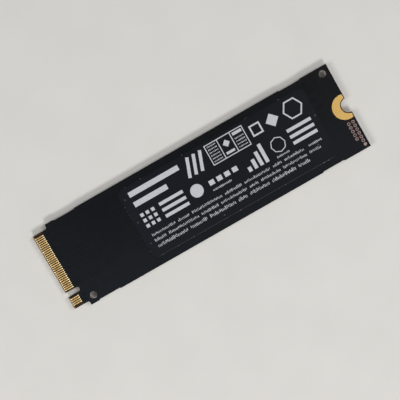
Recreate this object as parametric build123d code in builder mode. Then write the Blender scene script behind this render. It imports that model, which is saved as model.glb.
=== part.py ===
from build123d import *
import math
import os

# A gumstick solid state drive, a 22 by 80 mm edge card with every chip on one side.
# It lies on its chips. +X runs from the contact tongue to the screw notch, +Y across
# the card and +Z up, through the labelled back. The origin is under the card's middle,
# in the plane of the chip tops that the card rests on. All sizes are in millimetres.

# Board
board_length = 80.0
board_width = 22.0
board_thickness = 0.8
board_corner_radius = 0.5
copper_thickness = 0.04

# Tongue that goes into the connector
tongue_length = 4.0
shoulder_width = 1.075
shoulder_root_radius = 0.45
shoulder_fillet_share = 0.48
bevel_run = 0.3
bevel_drop = 0.2

# Key slot in the tongue
key_offset = 6.125
key_width = 1.2
key_depth = 3.5
key_copper_clearance = 0.225

# Contact fingers
finger_pitch = 0.5
finger_gap = 0.15
finger_length = 2.2
finger_side_margin = 0.45

# Notch for the retaining screw, with its ground pads
notch_radius = 1.75
ground_pad_radius = 3.05
ground_pad_setback = 0.95
ground_pad_pullback = 0.2

# Round tooling holes, one at each end
tooling_hole_radius = 0.875
near_hole_end_inset = 5.56
near_hole_side_inset = 1.8
far_hole_end_inset = 1.76
far_hole_side_inset = 1.72

# Shallow recesses where the card was snapped out of its panel
tab_length = 5.95
tab_depth = 0.2
tab_slope = 0.3
near_tab_inset = 9.15
far_tab_inset = 9.9

# Plated test holes near the screw notch
via_pitch = 1.0
via_ring_radius = 0.4
via_hole_radius = 0.16
via_plating = 0.04
via_sides = 8
via_pad_clearance = 0.5
outer_via_end_inset = 0.95
outer_via_side_inset = 1.0
inner_via_end_inset = 2.1
inner_via_skip_count = 2

# Label on the back
label_length = 50.0
label_width = 18.15
label_thickness = 0.1
label_corner_radius = 1.5
label_centre_inset = 32.5
label_side_offset = 0.075

# Generic marks printed on the label
ink_thickness = 0.02
print_left_margin = 2.2
print_right_margin = 1.7
print_top_margin = 0.75
upper_row_height = 5.2
lower_row_height = 4.8
print_row_gap = 0.7
thin_stroke = 0.22
bold_stroke = 0.4
upper_bar_width = 13.4
upper_bar_height = 1.3
cell_box_width = 10.2
cell_box_divider_pitch = 3.4
slant_bar_count = 3
slant_bar_pitch = 1.7
slant_bar_width = 0.8
slant_bar_length = 4.9
slant_bar_angle = 20.0
square_width = 2.8
diamond_width = 3.4
hexagon_radius = 2.6
dot_grid_count = 3
dot_grid_pitch = 1.45
dot_width = 0.85
lower_bar_width = 6.4
lower_disc_radius = 1.6
step_bar_count = 4
step_bar_pitch = 1.5
step_bar_width = 0.9
step_rise = 1.2
dash_group_width = 8.3
dash_count = 4
dash_height = 1.2
octagon_radius = 1.9
text_line_heights = (0.7, 0.7, 0.9)
text_line_pitch = 1.45
word_lengths = (6.4, 3.1, 8.2, 4.6, 7.0, 2.4, 5.3)
word_gap = 0.7

# Packages on solder balls, all of one height
ball_height = 0.3
package_thickness = 1.1
pin_mark_radius = 0.45
pin_mark_depth = 0.06
pin_mark_inset = 1.1
pin_mark_sides = 12
ball_sides = 4

# Controller, a laminate carrier under a stamped metal lid
controller_size = 13.0
controller_substrate_thickness = 0.35
lid_flange_margin = 0.35
lid_flange_thickness = 0.2
lid_flange_width = 0.9
lid_corner_radius = 0.8
lid_wall_taper = 25.0
controller_ball_radius = 0.26
controller_ball_pitch = 1.0
controller_ball_count = 12
controller_open_count = 6

# Working memory
dram_width = 7.5
dram_length = 11.0
dram_ball_radius = 0.22
dram_ball_pitch = 0.8
dram_ball_rows = 13
dram_bank_columns = 3
dram_bank_spacing = 4.0

# Flash memory, two alike
nand_width = 12.0
nand_length = 18.0
nand_ball_radius = 0.24
nand_ball_pitch = 1.0
nand_ball_rows = 16
nand_bank_columns = 2
nand_bank_spacing = 6.0

# Power management chip
power_chip_size = 4.0
power_chip_height = 0.75
power_chip_lead_count = 4
power_chip_lead_pitch = 0.8
power_chip_lead_width = 0.3

# Small leadless chips: load switch, boot memory and clock crystal
load_switch_size = 2.0
load_switch_height = 0.6
load_switch_lead_count = 3
load_switch_lead_pitch = 0.65
boot_memory_length = 3.0
boot_memory_width = 2.0
boot_memory_height = 0.55
boot_memory_lead_count = 4
boot_memory_lead_pitch = 0.65
leadless_lead_width = 0.3
leadless_lead_length = 0.45
leadless_lead_height = 0.08
leadless_lead_reach = 0.1
crystal_length = 2.0
crystal_width = 1.6
crystal_base_height = 0.3
crystal_lid_margin = 0.12
crystal_lid_height = 0.2
crystal_pad_length = 0.6
crystal_pad_width = 0.5
crystal_pad_height = 0.05

# Voltage regulator with six bent leads
regulator_length = 2.9
regulator_width = 1.6
regulator_height = 0.9
regulator_standoff = 0.08
regulator_lead_pairs = 3
regulator_lead_pitch = 0.95
regulator_lead_width = 0.4
regulator_lead_thickness = 0.13
regulator_lead_reach = 0.6
regulator_foot_length = 0.35

# Power inductors
inductor_count = 3
inductor_length = 2.5
inductor_width = 2.0
inductor_height = 1.0
inductor_corner = 0.25
inductor_terminal_length = 0.55
inductor_terminal_height = 0.1

# Two-terminal chip parts
terminal_proud = 0.03
bulk_capacitor_count = 4
bulk_capacitor_length = 2.0
bulk_capacitor_width = 1.25
bulk_capacitor_height = 0.9
bulk_capacitor_terminal = 0.4
chip_capacitor_length = 1.0
chip_capacitor_width = 0.5
chip_capacitor_height = 0.5
chip_capacitor_terminal = 0.25
chip_resistor_length = 1.0
chip_resistor_width = 0.5
chip_resistor_height = 0.35
chip_resistor_terminal = 0.22
fuse_length = 1.6
fuse_width = 0.8
fuse_height = 0.5
fuse_terminal = 0.35

# Spacing on the component side
shoulder_keepout = 0.7
part_gap = 0.55
row_side_margin = 2.05
notch_end_zone = 5.0
coupling_pair_count = 4
coupling_pitch = 1.3
coupling_centre = -1.5
column_pitch = 4.2
column_chip_count = 4
resistor_count = 5
resistor_pitch = 1.3
resistor_centre = 2.0

# Levels and faces. The component face looks down, so its own y runs against the card's Y.
tongue_end_x = -board_length / 2
notch_end_x = board_length / 2
side_y = board_width / 2
board_front_z = ball_height + package_thickness
board_back_z = board_front_z + board_thickness
tongue_width = board_width - 2 * shoulder_width
finger_width = finger_pitch - finger_gap
back_face = Plane.XY.offset(board_back_z)
component_face = Plane(origin=(0, 0, board_front_z), x_dir=(1, 0, 0), z_dir=(0, 0, -1))
package_seat = component_face.offset(ball_height)
rest_face = package_seat.offset(package_thickness)


def centres_side_by_side(lengths, gap):
    """Centres of pieces set side by side with one gap between them, balanced about zero."""
    edge = -(sum(lengths) + gap * (len(lengths) - 1)) / 2
    centres = []
    for length in lengths:
        centres.append(edge + length / 2)
        edge += length + gap
    return centres


def spread_across(lengths):
    """Centres of pieces spread over the width of the card, clear of its long edges."""
    gap = (board_width - 2 * row_side_margin - sum(lengths)) / (len(lengths) - 1)
    return centres_side_by_side(lengths, gap)


def evenly_spaced(count, pitch):
    """Centres of a row at one pitch, balanced about zero."""
    return [pitch * (index - (count - 1) / 2) for index in range(count)]


def finger_centres(count, key_y):
    """Centres of one row of fingers across the tongue, with the key slot left free."""
    free_half_width = key_width / 2 + key_copper_clearance + finger_width / 2
    row = evenly_spaced(count, finger_pitch)
    return [centre for centre in row if abs(centre - key_y) > free_half_width]


# Where things sit along the card, worked out from the tongue to the notch
coupling_x = tongue_end_x + tongue_length + shoulder_keepout + chip_capacitor_length / 2
supply_row_depth = max(load_switch_size, boot_memory_width, bulk_capacitor_width, fuse_width)
supply_row_x = coupling_x + chip_capacitor_length / 2 + part_gap + supply_row_depth / 2
power_row_depth = max(power_chip_size, inductor_width, regulator_width + 2 * regulator_lead_reach)
power_row_x = supply_row_x + supply_row_depth / 2 + part_gap + power_row_depth / 2
power_zone_end = power_row_x + power_row_depth / 2
package_widths = (controller_size, dram_width, nand_width, nand_width)
free_length = notch_end_x - notch_end_zone - power_zone_end - sum(package_widths)
package_gap = free_length / (len(package_widths) + 1)
package_centres = []
gap_centres = [power_zone_end + package_gap / 2]
package_edge = power_zone_end + package_gap
for package_width in package_widths:
    package_centres.append(package_edge + package_width / 2)
    package_edge += package_width + package_gap
    gap_centres.append(package_edge - package_gap / 2)
controller_x, dram_x, nand_a_x, nand_b_x = package_centres

# Where things sit across the card, on the component face
supply_row = (
    fuse_length,
    load_switch_size,
    boot_memory_length,
    *[bulk_capacitor_length] * bulk_capacitor_count,
)
supply_centres = spread_across(supply_row)
fuse_y, load_switch_y, boot_memory_y = supply_centres[:3]
bulk_capacitor_ys = supply_centres[3:]
power_row = (
    *[inductor_length] * inductor_count,
    power_chip_size,
    regulator_length,
)
power_centres = spread_across(power_row)
inductor_ys = power_centres[:inductor_count]
power_chip_y, regulator_y = power_centres[inductor_count:]
crystal_y = -resistor_centre - resistor_count * resistor_pitch / 2 - crystal_length / 2

bulk_capacitor_places = [Location((supply_row_x, y, 0), (0, 0, 90)) for y in bulk_capacitor_ys]
fuse_place = Location((supply_row_x, fuse_y, 0), (0, 0, 90))
chip_resistor_places = [
    Location((gap_centres[0], resistor_centre + y, 0), (0, 0, 90))
    for y in evenly_spaced(resistor_count, resistor_pitch)
]
chip_capacitor_places = [
    Location((coupling_x, coupling_centre + y, 0))
    for y in evenly_spaced(2 * coupling_pair_count, coupling_pitch)
]
for gap_x in gap_centres[1:]:
    for y in evenly_spaced(column_chip_count, column_pitch):
        chip_capacitor_places.append(Location((gap_x, y, 0), (0, 0, 90)))

# Fingers, tooling holes and test holes
finger_reach = tongue_width / 2 - finger_side_margin - finger_width / 2
back_finger_count = 2 * math.floor(finger_reach / finger_pitch) + 1
front_finger_count = 2 * math.floor(finger_reach / finger_pitch + 0.5)
finger_x = tongue_end_x + bevel_run + finger_length / 2
tooling_holes = (
    (tongue_end_x + near_hole_end_inset, -side_y + near_hole_side_inset),
    (notch_end_x - far_hole_end_inset, side_y - far_hole_side_inset),
)
outer_via_x = notch_end_x - outer_via_end_inset
inner_via_x = notch_end_x - inner_via_end_inset
via_row_room = side_y - outer_via_side_inset - via_ring_radius - via_pad_clearance - ground_pad_radius
outer_via_count = math.floor(via_row_room / via_pitch) + 1
outer_via_ys = [-side_y + outer_via_side_inset + via_pitch * i for i in range(outer_via_count)]
inner_via_ys = outer_via_ys[inner_via_skip_count:]
filled_via = (outer_via_x, outer_via_ys[0])
open_vias = [(outer_via_x, y) for y in outer_via_ys[1:]] + [(inner_via_x, y) for y in inner_via_ys]
via_barrel_radius = via_hole_radius + via_plating

os.makedirs("parts", exist_ok=True)

# Board: its outline, the key slot, the screw notch, the holes and the bevelled tongue
with BuildPart() as circuit_board:
    with BuildSketch(Plane.XY.offset(board_front_z)) as board_outline:
        Rectangle(board_length, board_width)
        with Locations((tongue_end_x, side_y), (tongue_end_x, -side_y)):
            Rectangle(2 * tongue_length, 2 * shoulder_width, mode=Mode.SUBTRACT)
        shoulder_line = tongue_end_x + tongue_length
        shoulder_corners = board_outline.vertices().filter_by_position(
            Axis.X, shoulder_line - shoulder_width, shoulder_line + shoulder_width
        )
        shoulder_roots = shoulder_corners.sort_by(lambda corner: abs(corner.Y))[:2]
        outer_corners = [corner for corner in board_outline.vertices() if corner not in shoulder_roots]
        fillet(shoulder_roots, min(shoulder_root_radius, shoulder_fillet_share * shoulder_width))
        fillet(outer_corners, min(board_corner_radius, shoulder_fillet_share * shoulder_width))
        for tab_x in (tongue_end_x + near_tab_inset, notch_end_x - far_tab_inset):
            for side in (side_y, -side_y):
                with BuildLine():
                    Polyline(
                        (tab_x - tab_length / 2, side),
                        (tab_x - tab_length / 2 + tab_slope, side - math.copysign(tab_depth, side)),
                        (tab_x + tab_length / 2 - tab_slope, side - math.copysign(tab_depth, side)),
                        (tab_x + tab_length / 2, side),
                        close=True,
                    )
                make_face(mode=Mode.SUBTRACT)
        with Locations((notch_end_x, 0)):
            Circle(notch_radius, mode=Mode.SUBTRACT)
        with Locations((tongue_end_x, -key_offset)):
            SlotOverall(2 * key_depth, key_width, mode=Mode.SUBTRACT)
        with Locations(*tooling_holes):
            Circle(tooling_hole_radius, mode=Mode.SUBTRACT)
        with Locations(filled_via, *open_vias):
            RegularPolygon(via_barrel_radius, via_sides, mode=Mode.SUBTRACT)
    extrude(amount=board_thickness)
    with BuildSketch(Plane.XZ):
        with BuildLine():
            Polyline(
                (tongue_end_x, board_back_z),
                (tongue_end_x + bevel_run, board_back_z),
                (tongue_end_x, board_back_z - bevel_drop),
                close=True,
            )
        make_face()
        mirror(about=Plane.XY.offset(board_front_z + board_thickness / 2))
    extrude(amount=side_y, both=True, mode=Mode.SUBTRACT)

# Contact fingers on both faces of the tongue
with BuildPart() as contact_fingers_back:
    with BuildSketch(back_face):
        with Locations(*[(finger_x, y) for y in finger_centres(back_finger_count, -key_offset)]):
            Rectangle(finger_length, finger_width)
    extrude(amount=copper_thickness)

with BuildPart() as contact_fingers_front:
    with BuildSketch(component_face):
        with Locations(*[(finger_x, y) for y in finger_centres(front_finger_count, key_offset)]):
            Rectangle(finger_length, finger_width)
    extrude(amount=copper_thickness)

# Crescent ground pads that the screw head presses on
for face, pad_name in ((back_face, "screw_pad_back"), (component_face, "screw_pad_front")):
    with BuildPart() as screw_pad:
        with BuildSketch(face):
            with Locations((notch_end_x - ground_pad_setback, 0)):
                Circle(ground_pad_radius)
            Rectangle(
                board_length - 2 * ground_pad_pullback,
                board_width - 2 * ground_pad_pullback,
                mode=Mode.INTERSECT,
            )
            with Locations((notch_end_x, 0)):
                Circle(notch_radius + ground_pad_pullback, mode=Mode.SUBTRACT)
        extrude(amount=copper_thickness)
    screw_pad.part.label = pad_name
    export_step(screw_pad.part, f"parts/{pad_name}.step")

# Plated test holes: a ring on each face, a barrel through the board, and one hole filled
with BuildPart() as test_vias:
    with BuildSketch(back_face):
        with Locations(filled_via, *open_vias):
            RegularPolygon(via_ring_radius, via_sides)
    extrude(amount=copper_thickness)
    with BuildSketch(back_face):
        with Locations(filled_via, *open_vias):
            RegularPolygon(via_barrel_radius, via_sides)
    extrude(amount=-board_thickness)
    with BuildSketch(Plane.XY.offset(board_front_z)):
        with Locations(filled_via, *open_vias):
            RegularPolygon(via_ring_radius, via_sides)
    extrude(amount=-copper_thickness)
    with BuildSketch(back_face.offset(copper_thickness)):
        with Locations(*open_vias):
            RegularPolygon(via_hole_radius, via_sides)
    extrude(amount=-(board_thickness + 2 * copper_thickness), mode=Mode.SUBTRACT)

# Label, and the marks printed on it
label_centre = (notch_end_x - label_centre_inset, label_side_offset)
label_face = Plane(origin=(*label_centre, board_back_z + label_thickness))
print_left = -label_length / 2 + print_left_margin
print_right = label_length / 2 - print_right_margin
upper_row_y = label_width / 2 - print_top_margin - upper_row_height / 2
lower_row_y = upper_row_y - (upper_row_height + lower_row_height) / 2 - print_row_gap
first_text_line_y = lower_row_y - lower_row_height / 2 - text_line_pitch


def print_row_centres(widths):
    """Centres of marks of these widths, spread over the printed width of the label."""
    gap = (print_right - print_left - sum(widths)) / (len(widths) - 1)
    middle = (print_left + print_right) / 2
    return [middle + centre for centre in centres_side_by_side(widths, gap)]


upper_widths = (
    upper_bar_width,
    slant_bar_pitch * slant_bar_count,
    cell_box_width,
    square_width,
    diamond_width,
    2 * hexagon_radius,
)
lower_widths = (
    dot_grid_pitch * (dot_grid_count - 1) + dot_width,
    lower_bar_width,
    2 * lower_disc_radius,
    dash_group_width,
    step_bar_pitch * step_bar_count,
    2 * octagon_radius,
    lower_bar_width,
)
upper_places = [(x, upper_row_y) for x in print_row_centres(upper_widths)]
lower_places = [(x, lower_row_y) for x in print_row_centres(lower_widths)]
bar_place, slant_place, cell_place, square_place, diamond_place, hexagon_place = upper_places
dots_place, near_bars_place, disc_place, dash_place = lower_places[:4]
step_place, octagon_place, far_bars_place = lower_places[4:]

with BuildPart() as back_label:
    with BuildSketch(back_face):
        with Locations(label_centre):
            RectangleRounded(label_length, label_width, label_corner_radius)
    extrude(amount=label_thickness)

with BuildPart() as label_print:
    with BuildSketch(label_face):
        with Locations(bar_place):
            with Locations((0, upper_bar_height)):
                Rectangle(upper_bar_width, upper_bar_height)
            with Locations((-upper_bar_width / 6, -upper_bar_height)):
                Rectangle(upper_bar_width * 2 / 3, upper_bar_height)
        with Locations(slant_place):
            with GridLocations(slant_bar_pitch, 0, slant_bar_count, 1):
                Rectangle(slant_bar_width, slant_bar_length, rotation=-slant_bar_angle)
        with Locations(cell_place):
            Rectangle(cell_box_width, upper_row_height)
            Rectangle(
                cell_box_width - 2 * thin_stroke,
                upper_row_height - 2 * thin_stroke,
                mode=Mode.SUBTRACT,
            )
            with GridLocations(cell_box_divider_pitch, 0, 2, 1):
                Rectangle(thin_stroke, upper_row_height)
        with Locations(square_place):
            Rectangle(square_width, square_width)
            Rectangle(square_width - 2 * bold_stroke, square_width - 2 * bold_stroke, mode=Mode.SUBTRACT)
        with Locations(diamond_place):
            RegularPolygon(diamond_width / 2, 4)
        with Locations(hexagon_place):
            RegularPolygon(hexagon_radius, 6)
            RegularPolygon(hexagon_radius - bold_stroke, 6, mode=Mode.SUBTRACT)
        with Locations(dots_place):
            with GridLocations(dot_grid_pitch, dot_grid_pitch, dot_grid_count, dot_grid_count):
                Rectangle(dot_width, dot_width)
        with Locations(near_bars_place, far_bars_place):
            with GridLocations(0, lower_row_height / 3, 1, 3):
                Rectangle(lower_bar_width, 2 * bold_stroke)
        with Locations(disc_place):
            Circle(lower_disc_radius)
        with Locations(dash_place):
            with GridLocations(dash_group_width / dash_count, 0, dash_count, 1):
                Rectangle(dash_group_width / dash_count - word_gap, dash_height)
        with Locations(step_place):
            for step, bar_x in enumerate(evenly_spaced(step_bar_count, step_bar_pitch)):
                bar_height = step_rise * (step + 1)
                with Locations((bar_x, (bar_height - lower_row_height) / 2)):
                    Rectangle(step_bar_width, bar_height)
        with Locations(octagon_place):
            RegularPolygon(octagon_radius, 8)
            RegularPolygon(octagon_radius - thin_stroke, 8, mode=Mode.SUBTRACT)
        for line, text_height in enumerate(text_line_heights):
            word_edge = print_left
            word = line
            while word_edge + word_lengths[word % len(word_lengths)] < print_right:
                word_length = word_lengths[word % len(word_lengths)]
                line_y = first_text_line_y - line * text_line_pitch
                with Locations((word_edge + word_length / 2, line_y)):
                    Rectangle(word_length, text_height)
                word_edge += word_length + word_gap
                word += 1
    extrude(amount=ink_thickness)


def two_banks(centre_x, pitch, rows, columns, bank_spacing):
    """Ball centres under a memory package: two banks of columns, one each side of its middle."""
    places = []
    for bank_x in (centre_x - bank_spacing / 2, centre_x + bank_spacing / 2):
        for x in evenly_spaced(columns, pitch):
            for y in evenly_spaced(rows, pitch):
                places.append((bank_x + x, y))
    return places


# Memory packages, each on its grid of solder balls
dram_grid = (dram_ball_pitch, dram_ball_rows, dram_bank_columns, dram_bank_spacing)
nand_grid = (nand_ball_pitch, nand_ball_rows, nand_bank_columns, nand_bank_spacing)
memory_chips = (
    ("dram", dram_x, dram_width, dram_length, dram_ball_radius, dram_grid),
    ("nand_a", nand_a_x, nand_width, nand_length, nand_ball_radius, nand_grid),
    ("nand_b", nand_b_x, nand_width, nand_length, nand_ball_radius, nand_grid),
)
for chip, chip_x, width, length, ball_radius, ball_grid in memory_chips:
    with BuildPart() as package:
        with BuildSketch(package_seat):
            with Locations((chip_x, 0)):
                Rectangle(width, length)
        extrude(amount=package_thickness)
        with BuildSketch(rest_face):
            with Locations((chip_x - width / 2 + pin_mark_inset, -length / 2 + pin_mark_inset)):
                RegularPolygon(pin_mark_radius, pin_mark_sides)
        extrude(amount=-pin_mark_depth, mode=Mode.SUBTRACT)
    package.part.label = f"{chip}_package"
    export_step(package.part, f"parts/{chip}_package.step")

    with BuildPart() as balls:
        with BuildSketch(component_face):
            with Locations(*two_banks(chip_x, *ball_grid)):
                RegularPolygon(ball_radius, ball_sides)
        extrude(amount=ball_height)
    balls.part.label = f"{chip}_solder_balls"
    export_step(balls.part, f"parts/{chip}_solder_balls.step")

# Controller: solder balls, laminate carrier and a stamped lid with a flange round its crown
controller_ball_places = [
    (controller_x + x, y)
    for x in evenly_spaced(controller_ball_count, controller_ball_pitch)
    for y in evenly_spaced(controller_ball_count, controller_ball_pitch)
    if max(abs(x), abs(y)) > controller_open_count * controller_ball_pitch / 2
]
with BuildPart() as controller_solder_balls:
    with BuildSketch(component_face):
        with Locations(*controller_ball_places):
            RegularPolygon(controller_ball_radius, ball_sides)
    extrude(amount=ball_height)

with BuildPart() as controller_substrate:
    with BuildSketch(package_seat):
        with Locations((controller_x, 0)):
            Rectangle(controller_size, controller_size)
    extrude(amount=controller_substrate_thickness)

lid_seat = package_seat.offset(controller_substrate_thickness)
lid_flange_size = controller_size - 2 * lid_flange_margin
lid_base_size = lid_flange_size - 2 * lid_flange_width
with BuildPart() as controller_lid:
    with BuildSketch(lid_seat):
        with Locations((controller_x, 0)):
            RectangleRounded(lid_flange_size, lid_flange_size, lid_corner_radius)
    extrude(amount=lid_flange_thickness)
    with BuildSketch(lid_seat.offset(lid_flange_thickness)):
        with Locations((controller_x, 0)):
            RectangleRounded(lid_base_size, lid_base_size, lid_corner_radius)
    crown_height = package_thickness - controller_substrate_thickness - lid_flange_thickness
    extrude(amount=crown_height, taper=lid_wall_taper)

# Power management chip, with leads along all four sides
side_lead_offset = power_chip_size / 2 + leadless_lead_reach - leadless_lead_length / 2
with BuildPart() as power_chip_leads:
    with BuildSketch(component_face):
        with Locations((power_row_x, power_chip_y)):
            with GridLocations(2 * side_lead_offset, power_chip_lead_pitch, 2, power_chip_lead_count):
                Rectangle(leadless_lead_length, power_chip_lead_width)
            with GridLocations(power_chip_lead_pitch, 2 * side_lead_offset, power_chip_lead_count, 2):
                Rectangle(power_chip_lead_width, leadless_lead_length)
    extrude(amount=leadless_lead_height)

with BuildPart() as power_chip_body:
    with BuildSketch(component_face.offset(leadless_lead_height)):
        with Locations((power_row_x, power_chip_y)):
            Rectangle(power_chip_size, power_chip_size)
    extrude(amount=power_chip_height - leadless_lead_height)

# Load switch and boot memory, with leads along two sides
with BuildPart() as load_switch_leads:
    with BuildSketch(component_face):
        with Locations((supply_row_x, load_switch_y)):
            with GridLocations(
                load_switch_size + 2 * leadless_lead_reach - leadless_lead_length,
                load_switch_lead_pitch,
                2,
                load_switch_lead_count,
            ):
                Rectangle(leadless_lead_length, leadless_lead_width)
    extrude(amount=leadless_lead_height)

with BuildPart() as load_switch_body:
    with BuildSketch(component_face.offset(leadless_lead_height)):
        with Locations((supply_row_x, load_switch_y)):
            Rectangle(load_switch_size, load_switch_size)
    extrude(amount=load_switch_height - leadless_lead_height)

with BuildPart() as boot_memory_leads:
    with BuildSketch(component_face):
        with Locations((supply_row_x, boot_memory_y)):
            with GridLocations(
                boot_memory_width + 2 * leadless_lead_reach - leadless_lead_length,
                boot_memory_lead_pitch,
                2,
                boot_memory_lead_count,
            ):
                Rectangle(leadless_lead_length, leadless_lead_width)
    extrude(amount=leadless_lead_height)

with BuildPart() as boot_memory_body:
    with BuildSketch(component_face.offset(leadless_lead_height)):
        with Locations((supply_row_x, boot_memory_y)):
            Rectangle(boot_memory_width, boot_memory_length)
    extrude(amount=boot_memory_height - leadless_lead_height)

# Clock crystal: four pads, a ceramic base and a metal lid
with BuildPart() as crystal_pads:
    with BuildSketch(component_face):
        with Locations((gap_centres[0], crystal_y)):
            pad_pitch_across = crystal_width - crystal_pad_width
            pad_pitch_along = crystal_length - crystal_pad_length
            with GridLocations(pad_pitch_across, pad_pitch_along, 2, 2):
                Rectangle(crystal_pad_width, crystal_pad_length)
    extrude(amount=crystal_pad_height)

with BuildPart() as crystal_base:
    with BuildSketch(component_face.offset(crystal_pad_height)):
        with Locations((gap_centres[0], crystal_y)):
            Rectangle(crystal_width, crystal_length)
    extrude(amount=crystal_base_height)

with BuildPart() as crystal_lid:
    with BuildSketch(component_face.offset(crystal_pad_height + crystal_base_height)):
        with Locations((gap_centres[0], crystal_y)):
            Rectangle(crystal_width - 2 * crystal_lid_margin, crystal_length - 2 * crystal_lid_margin)
    extrude(amount=crystal_lid_height)

# Voltage regulator: a moulded body held off the board by six bent leads
regulator_mid_height = regulator_standoff + (regulator_height - regulator_standoff) / 2
with BuildPart() as regulator_body:
    with BuildSketch(component_face.offset(regulator_standoff)):
        with Locations((power_row_x, regulator_y)):
            Rectangle(regulator_width, regulator_length)
    extrude(amount=regulator_height - regulator_standoff)

with BuildPart() as regulator_leads:
    for lead_y in evenly_spaced(regulator_lead_pairs, regulator_lead_pitch):
        lead_plane = Plane(
            origin=(power_row_x, -regulator_y - lead_y, board_front_z),
            x_dir=(1, 0, 0),
            z_dir=(0, 1, 0),
        )
        with BuildSketch(lead_plane):
            with BuildLine():
                body_edge = regulator_width / 2
                toe = body_edge + regulator_lead_reach
                heel = toe - regulator_foot_length
                Polyline(
                    (body_edge, regulator_mid_height),
                    (heel, regulator_mid_height),
                    (heel + regulator_lead_thickness, regulator_lead_thickness),
                    (toe, regulator_lead_thickness),
                    (toe, 0),
                    (heel, 0),
                    (heel - regulator_lead_thickness, regulator_mid_height - regulator_lead_thickness),
                    (body_edge, regulator_mid_height - regulator_lead_thickness),
                    close=True,
                )
            make_face()
            mirror(about=Plane.YZ)
        extrude(amount=regulator_lead_width / 2, both=True)

# Power inductors, each a pressed block on two flat terminals
inductor_places = [(power_row_x, y) for y in inductor_ys]
with BuildPart() as inductor_terminals:
    with BuildSketch(component_face):
        with Locations(*inductor_places):
            with GridLocations(0, inductor_length - inductor_terminal_length, 1, 2):
                Rectangle(inductor_width - 2 * inductor_corner, inductor_terminal_length)
    extrude(amount=inductor_terminal_height)

with BuildPart() as inductor_bodies:
    with BuildSketch(component_face.offset(inductor_terminal_height)) as inductor_outline:
        with Locations(*inductor_places):
            Rectangle(inductor_width, inductor_length)
        chamfer(inductor_outline.vertices(), inductor_corner)
    extrude(amount=inductor_height - inductor_terminal_height)

# Two-terminal chip parts: a middle block between two end caps
chip_parts = (
    (
        "bulk_capacitor",
        bulk_capacitor_places,
        bulk_capacitor_length,
        bulk_capacitor_width,
        bulk_capacitor_height,
        bulk_capacitor_terminal,
    ),
    (
        "chip_capacitor",
        chip_capacitor_places,
        chip_capacitor_length,
        chip_capacitor_width,
        chip_capacitor_height,
        chip_capacitor_terminal,
    ),
    (
        "chip_resistor",
        chip_resistor_places,
        chip_resistor_length,
        chip_resistor_width,
        chip_resistor_height,
        chip_resistor_terminal,
    ),
    ("input_fuse", [fuse_place], fuse_length, fuse_width, fuse_height, fuse_terminal),
)
for chip, places, length, width, height, terminal in chip_parts:
    with BuildPart() as chip_bodies:
        with BuildSketch(component_face.offset(terminal_proud)):
            with Locations(*places):
                Rectangle(length - 2 * terminal, width - 2 * terminal_proud)
        extrude(amount=height - 2 * terminal_proud)
    chip_bodies.part.label = f"{chip}_bodies"
    export_step(chip_bodies.part, f"parts/{chip}_bodies.step")

    with BuildPart() as chip_terminals:
        with BuildSketch(component_face):
            with Locations(*places):
                with GridLocations(length - terminal, 0, 2, 1):
                    Rectangle(terminal, width)
        extrude(amount=height)
    chip_terminals.part.label = f"{chip}_terminals"
    export_step(chip_terminals.part, f"parts/{chip}_terminals.step")

# The remaining pieces, one file each
circuit_board.part.label = "circuit_board"
export_step(circuit_board.part, "parts/circuit_board.step")
contact_fingers_back.part.label = "contact_fingers_back"
export_step(contact_fingers_back.part, "parts/contact_fingers_back.step")
contact_fingers_front.part.label = "contact_fingers_front"
export_step(contact_fingers_front.part, "parts/contact_fingers_front.step")
test_vias.part.label = "test_vias"
export_step(test_vias.part, "parts/test_vias.step")
back_label.part.label = "back_label"
export_step(back_label.part, "parts/back_label.step")
label_print.part.label = "label_print"
export_step(label_print.part, "parts/label_print.step")
controller_solder_balls.part.label = "controller_solder_balls"
export_step(controller_solder_balls.part, "parts/controller_solder_balls.step")
controller_substrate.part.label = "controller_substrate"
export_step(controller_substrate.part, "parts/controller_substrate.step")
controller_lid.part.label = "controller_lid"
export_step(controller_lid.part, "parts/controller_lid.step")
power_chip_leads.part.label = "power_chip_leads"
export_step(power_chip_leads.part, "parts/power_chip_leads.step")
power_chip_body.part.label = "power_chip_body"
export_step(power_chip_body.part, "parts/power_chip_body.step")
load_switch_leads.part.label = "load_switch_leads"
export_step(load_switch_leads.part, "parts/load_switch_leads.step")
load_switch_body.part.label = "load_switch_body"
export_step(load_switch_body.part, "parts/load_switch_body.step")
boot_memory_leads.part.label = "boot_memory_leads"
export_step(boot_memory_leads.part, "parts/boot_memory_leads.step")
boot_memory_body.part.label = "boot_memory_body"
export_step(boot_memory_body.part, "parts/boot_memory_body.step")
crystal_pads.part.label = "crystal_pads"
export_step(crystal_pads.part, "parts/crystal_pads.step")
crystal_base.part.label = "crystal_base"
export_step(crystal_base.part, "parts/crystal_base.step")
crystal_lid.part.label = "crystal_lid"
export_step(crystal_lid.part, "parts/crystal_lid.step")
regulator_body.part.label = "regulator_body"
export_step(regulator_body.part, "parts/regulator_body.step")
regulator_leads.part.label = "regulator_leads"
export_step(regulator_leads.part, "parts/regulator_leads.step")
inductor_terminals.part.label = "inductor_terminals"
export_step(inductor_terminals.part, "parts/inductor_terminals.step")
inductor_bodies.part.label = "inductor_bodies"
export_step(inductor_bodies.part, "parts/inductor_bodies.step")
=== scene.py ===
import math
import random
import bmesh
import bpy
from mathutils import Matrix, Vector


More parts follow.
